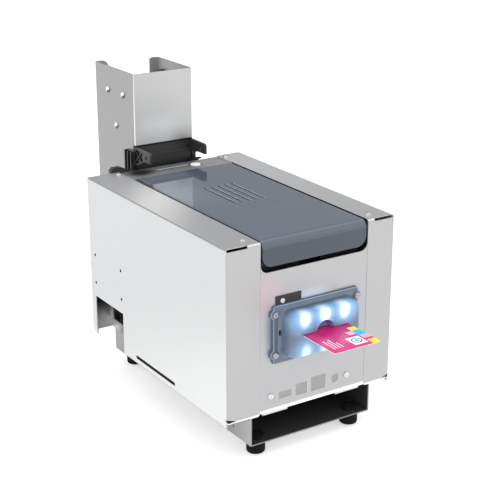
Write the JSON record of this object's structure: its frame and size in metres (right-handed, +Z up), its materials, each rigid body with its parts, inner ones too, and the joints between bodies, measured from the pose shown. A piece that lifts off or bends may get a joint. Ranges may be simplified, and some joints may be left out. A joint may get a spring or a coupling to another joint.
{
  "type": "card printer",
  "caption": "Sheet-metal card printer with a hinged hood, a lit card exit bezel, a base tray on four feet and an upright card tower at the rear.",
  "frame": {"origin": "middle of the bounding box on the plane the four feet stand on", "axes": "+Z up, +X to the right along the front, the card exit faces -Y"},
  "size_m": [0.196, 0.4536, 0.3274],
  "materials": {
    "housing_steel": "satin",
    "inner_steel": "satin",
    "screw_steel": "polished",
    "black_plastic": "matte",
    "hood_plastic": "gloss",
    "bezel_plastic": "gloss",
    "black_rubber": "matte",
    "white_plastic": "satin",
    "card_plastic": "gloss",
    "board_green": "satin",
    "brass": "satin",
    "motor_metal": "satin",
    "ribbon_plastic": "gloss"
  },
  "bodies": {
    "housing": {"left_side_panel": "housing_steel", "right_side_panel": "housing_steel", "front_panel": "housing_steel", "port_plate": "inner_steel", "rear_panel": "inner_steel", "rear_deck": "housing_steel", "floor_plate": "inner_steel", "base_tray": "inner_steel", "feet": "black_rubber", "foot_screws": "black_plastic", "deck_screws": "screw_steel", "front_screws": "screw_steel", "cable_recess": "inner_steel", "power_inlet": "black_plastic", "usb_socket": "screw_steel", "interface_board": "board_green", "hinge_pins": "screw_steel", "hinge_brackets": "inner_steel", "hood_catch": "black_plastic", "bezel": "bezel_plastic", "bezel_gasket": "bezel_plastic", "led_board": "board_green", "leds": "white_plastic", "bezel_screws": "screw_steel", "tag_plate": "black_plastic", "tag_screw": "white_plastic", "card_tower": "housing_steel", "tower_rivets": "screw_steel", "card_guides": "black_plastic", "card_stack": "white_plastic", "feeder_housing": "black_plastic", "feeder_bracket": "black_plastic", "tower_bracket": "inner_steel", "feed_motor": "motor_metal", "mech_plates": "inner_steel", "card_rails": "black_plastic", "bushes": "brass", "drive_belt": "black_rubber", "drive_motor": "motor_metal", "ribbon_film": "ribbon_plastic", "main_board": "board_green", "fan_frame": "black_plastic", "button_guide": "black_plastic"},
    "hood_body": {"hood": "hood_plastic", "print_head": "inner_steel", "print_head_arm": "black_plastic"},
    "card_body": {"printed_card": "card_plastic"},
    "motor_shaft": {"motor_pinion": "brass"},
    "platen_body": {"platen_roller": "black_rubber"},
    "exit_body": {"exit_roller": "black_rubber"},
    "infeed_body": {"infeed_roller": "black_rubber"},
    "exit_pinch_body": {"exit_pinch": "black_rubber"},
    "infeed_pinch_body": {"infeed_pinch": "black_rubber"},
    "feed_motor_shaft": {"feed_pinion": "white_plastic"},
    "feed_body": {"feed_roller": "black_rubber"},
    "supply_body": {"supply_spool": "ribbon_plastic"},
    "takeup_body": {"takeup_spool": "ribbon_plastic"},
    "weight_body": {"card_weight": "black_plastic"},
    "button_body": {"power_button": "white_plastic"},
    "fan_body": {"fan_rotor": "black_plastic"}
  },
  "joints": [
    {"name": "hood_hinge", "type": "hinge", "parent": "housing", "child": "hood_body", "pos_m": [0.0033, 0.06835, 0.2152], "axis": [-1, 0, 0], "range_deg": [0, 75]},
    {"name": "card_slide", "type": "slide", "parent": "housing", "child": "card_body", "axis": [0, 1, 0], "range_m": [-0.035, 0.21]},
    {"name": "motor_spin", "type": "hinge", "parent": "housing", "child": "motor_shaft", "pos_m": [0.0033, -0.00725, 0.09662], "axis": [1, 0, 0], "continuous": true},
    {"name": "platen_spin", "type": "hinge", "parent": "housing", "child": "platen_body", "pos_m": [0.0033, -0.00725, 0.12282], "axis": [1, 0, 0], "continuous": true},
    {"name": "exit_spin", "type": "hinge", "parent": "housing", "child": "exit_body", "pos_m": [0.0033, -0.14725, 0.12282], "axis": [1, 0, 0], "continuous": true},
    {"name": "infeed_spin", "type": "hinge", "parent": "housing", "child": "infeed_body", "pos_m": [0.0033, 0.10475, 0.12282], "axis": [1, 0, 0], "continuous": true},
    {"name": "exit_pinch_spin", "type": "hinge", "parent": "housing", "child": "exit_pinch_body", "pos_m": [0.0033, -0.14725, 0.13398], "axis": [1, 0, 0], "continuous": true},
    {"name": "infeed_pinch_spin", "type": "hinge", "parent": "housing", "child": "infeed_pinch_body", "pos_m": [0.0033, 0.10475, 0.13398], "axis": [1, 0, 0], "continuous": true},
    {"name": "feed_motor_spin", "type": "hinge", "parent": "housing", "child": "feed_motor_shaft", "pos_m": [0.0033, 0.17632, 0.11023], "axis": [1, 0, 0], "continuous": true},
    {"name": "feed_spin", "type": "hinge", "parent": "housing", "child": "feed_body", "pos_m": [0.0033, 0.15575, 0.11982], "axis": [1, 0, 0], "continuous": true},
    {"name": "takeup_spin", "type": "hinge", "parent": "housing", "child": "takeup_body", "pos_m": [0.0033, -0.06725, 0.1687], "axis": [1, 0, 0], "continuous": true},
    {"name": "supply_spin", "type": "hinge", "parent": "housing", "child": "supply_body", "pos_m": [0.0033, 0.03775, 0.1687], "axis": [1, 0, 0], "continuous": true},
    {"name": "weight_lift", "type": "slide", "parent": "housing", "child": "weight_body", "axis": [0, 0, 1], "range_m": [0, 0.1]},
    {"name": "button_press", "type": "slide", "parent": "housing", "child": "button_body", "axis": [0, 0, 1], "range_m": [-0.0012, 0], "stiffness_N_per_m": 400},
    {"name": "fan_spin", "type": "hinge", "parent": "housing", "child": "fan_body", "pos_m": [0.061, 0.11735, 0.1637], "axis": [0, 1, 0], "continuous": true}
  ],
  "couplings": [
    {"joint": "platen_spin", "follows": "motor_spin", "ratio": -0.3},
    {"joint": "exit_spin", "follows": "motor_spin", "ratio": -0.3},
    {"joint": "infeed_spin", "follows": "motor_spin", "ratio": -0.3},
    {"joint": "exit_pinch_spin", "follows": "motor_spin", "ratio": 0.45},
    {"joint": "infeed_pinch_spin", "follows": "motor_spin", "ratio": 0.45},
    {"joint": "feed_spin", "follows": "feed_motor_spin", "ratio": -0.5},
    {"joint": "supply_spin", "follows": "takeup_spin", "ratio": 0.75}
  ]
}
